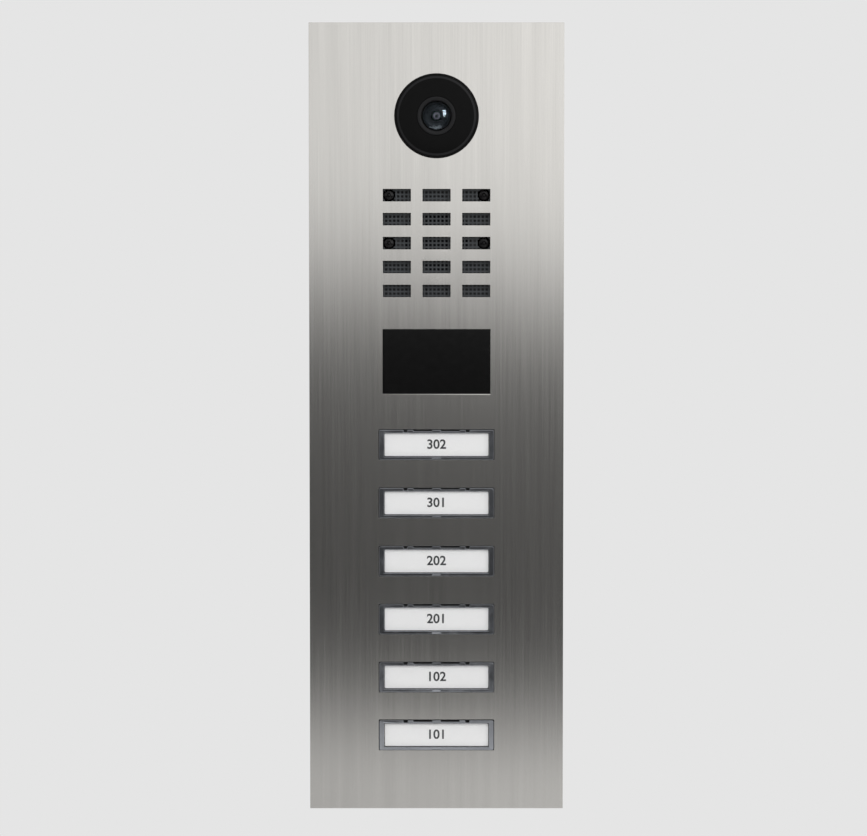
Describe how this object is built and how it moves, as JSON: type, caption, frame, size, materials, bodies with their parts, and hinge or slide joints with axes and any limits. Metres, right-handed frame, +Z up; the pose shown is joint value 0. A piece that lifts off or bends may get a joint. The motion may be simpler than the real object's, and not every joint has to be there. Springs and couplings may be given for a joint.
{
  "type": "door intercom panel",
  "caption": "Tall narrow flush-mounted steel entry station with camera disc, sound slots, card reader window and a column of labelled call buttons, hung on a recessed wall box.",
  "frame": {"origin": "centre of the front plate's outline, on the wall plane that the box's seal rests on", "axes": "+Z up along the plate, -Y out of the wall towards the visitor, +X to the visitor's right"},
  "size_m": [0.113, 0.0557, 0.35],
  "materials": {
    "front_steel": "brushed along the plate's height, edges broken",
    "frame_steel": "galvanised sheet steel",
    "screw_steel": "bright stainless, turned",
    "seal_foam": "closed-cell foam rubber, matt",
    "grommet_rubber": "moulded rubber, matt",
    "housing_plastic": "moulded black ABS, fine grain",
    "cover_gloss": "polished black acrylic",
    "window_gloss": "polished black acrylic",
    "lens_glass": "coated optical glass",
    "circuit_board": "green solder mask on glass-epoxy board",
    "mesh_wire": "dark woven stainless wire",
    "cone_paper": "black pressed paper",
    "magnet_steel": "plated steel",
    "lamp_epoxy": "dark infrared-pass epoxy",
    "terminal_plastic": "green polyamide",
    "clear_cap": "clear polycarbonate, polished",
    "label_paper": "white printed label",
    "carrier_plastic": "dark moulded ABS",
    "plunger_plastic": "natural acetal",
    "switch_plastic": "black polyamide"
  },
  "bodies": {
    "wall_unit": {"back_box": "frame_steel", "wall_seal": "seal_foam", "hinge_rod": "screw_steel", "cable_grommet_1": "grommet_rubber", "cable_grommet_2": "grommet_rubber"},
    "front_unit": {"front_panel": "front_steel", "mounting_frame": "frame_steel", "housing_seal": "seal_foam", "rear_housing": "housing_plastic", "locking_screw_1": "screw_steel", "locking_screw_2": "screw_steel", "camera_cover": "cover_gloss", "camera_lens": "lens_glass", "lens_barrel": "housing_plastic", "camera_board": "circuit_board", "acoustic_grille": "mesh_wire", "speaker_basket": "housing_plastic", "speaker_cone": "cone_paper", "speaker_magnet": "magnet_steel", "microphone": "grommet_rubber", "ir_led_1": "lamp_epoxy", "ir_led_2": "lamp_epoxy", "ir_led_3": "lamp_epoxy", "ir_led_4": "lamp_epoxy", "reader_window": "window_gloss", "reader_antenna": "circuit_board", "front_board": "circuit_board", "main_board": "circuit_board", "terminal_block": "terminal_plastic", "network_socket": "magnet_steel", "switch_body_1": "switch_plastic", "switch_body_2": "switch_plastic", "switch_body_3": "switch_plastic", "switch_body_4": "switch_plastic", "switch_body_5": "switch_plastic", "switch_body_6": "switch_plastic"},
    "button_1": {"button_cap_1": "clear_cap", "name_label_1": "label_paper", "button_carrier_1": "carrier_plastic", "switch_plunger_1": "plunger_plastic"},
    "button_2": {"button_cap_2": "clear_cap", "name_label_2": "label_paper", "button_carrier_2": "carrier_plastic", "switch_plunger_2": "plunger_plastic"},
    "button_3": {"button_cap_3": "clear_cap", "name_label_3": "label_paper", "button_carrier_3": "carrier_plastic", "switch_plunger_3": "plunger_plastic"},
    "button_4": {"button_cap_4": "clear_cap", "name_label_4": "label_paper", "button_carrier_4": "carrier_plastic", "switch_plunger_4": "plunger_plastic"},
    "button_5": {"button_cap_5": "clear_cap", "name_label_5": "label_paper", "button_carrier_5": "carrier_plastic", "switch_plunger_5": "plunger_plastic"},
    "button_6": {"button_cap_6": "clear_cap", "name_label_6": "label_paper", "button_carrier_6": "carrier_plastic", "switch_plunger_6": "plunger_plastic"}
  },
  "joints": [
    {"name": "panel_swing", "type": "hinge", "parent": "wall_unit", "child": "front_unit", "pos_m": [0, -0.0048, 0.159], "axis": [-1, 0, 0], "range_deg": [0, 25]},
    {"name": "button_1_press", "type": "slide", "parent": "front_unit", "child": "button_1", "axis": [0, 1, 0], "range_m": [0, 0.001], "stiffness_N_per_m": 800, "springref_m": -0.0015},
    {"name": "button_2_press", "type": "slide", "parent": "front_unit", "child": "button_2", "axis": [0, 1, 0], "range_m": [0, 0.001], "stiffness_N_per_m": 800, "springref_m": -0.0015},
    {"name": "button_3_press", "type": "slide", "parent": "front_unit", "child": "button_3", "axis": [0, 1, 0], "range_m": [0, 0.001], "stiffness_N_per_m": 800, "springref_m": -0.0015},
    {"name": "button_4_press", "type": "slide", "parent": "front_unit", "child": "button_4", "axis": [0, 1, 0], "range_m": [0, 0.001], "stiffness_N_per_m": 800, "springref_m": -0.0015},
    {"name": "button_5_press", "type": "slide", "parent": "front_unit", "child": "button_5", "axis": [0, 1, 0], "range_m": [0, 0.001], "stiffness_N_per_m": 800, "springref_m": -0.0015},
    {"name": "button_6_press", "type": "slide", "parent": "front_unit", "child": "button_6", "axis": [0, 1, 0], "range_m": [0, 0.001], "stiffness_N_per_m": 800, "springref_m": -0.0015}
  ]
}
